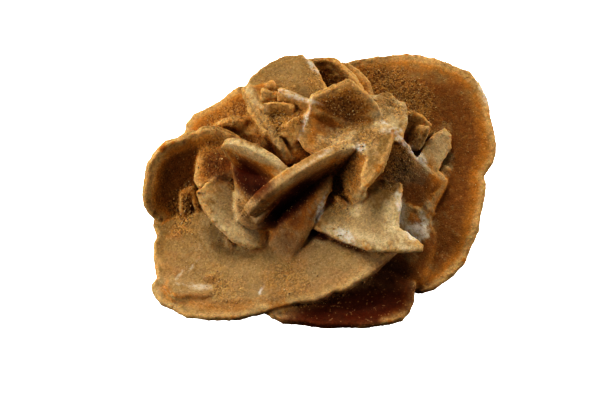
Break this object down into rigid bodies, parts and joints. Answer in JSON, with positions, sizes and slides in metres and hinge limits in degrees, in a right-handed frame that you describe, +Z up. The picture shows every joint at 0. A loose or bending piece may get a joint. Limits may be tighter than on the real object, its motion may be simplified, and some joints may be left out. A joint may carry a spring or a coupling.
{
  "type": "sand rose",
  "caption": "Gypsum sand rose: a cluster of thin lens-shaped crystal petals grown through each other, pale brown and sandy, standing on its worn underside.",
  "frame": {"origin": "middle of the bounding box seen from above, on the surface the rose stands on", "axes": "+Z up; +X along the longest side, towards the big back petal; the showy side faces -Y"},
  "size_m": [0.1062, 0.0774, 0.0576],
  "materials": {
    "gypsum": "matt, sandy, waxy on clean crystal faces"
  },
  "bodies": {
    "root": {"sand_rose": "gypsum"}
  },
  "joints": []
}
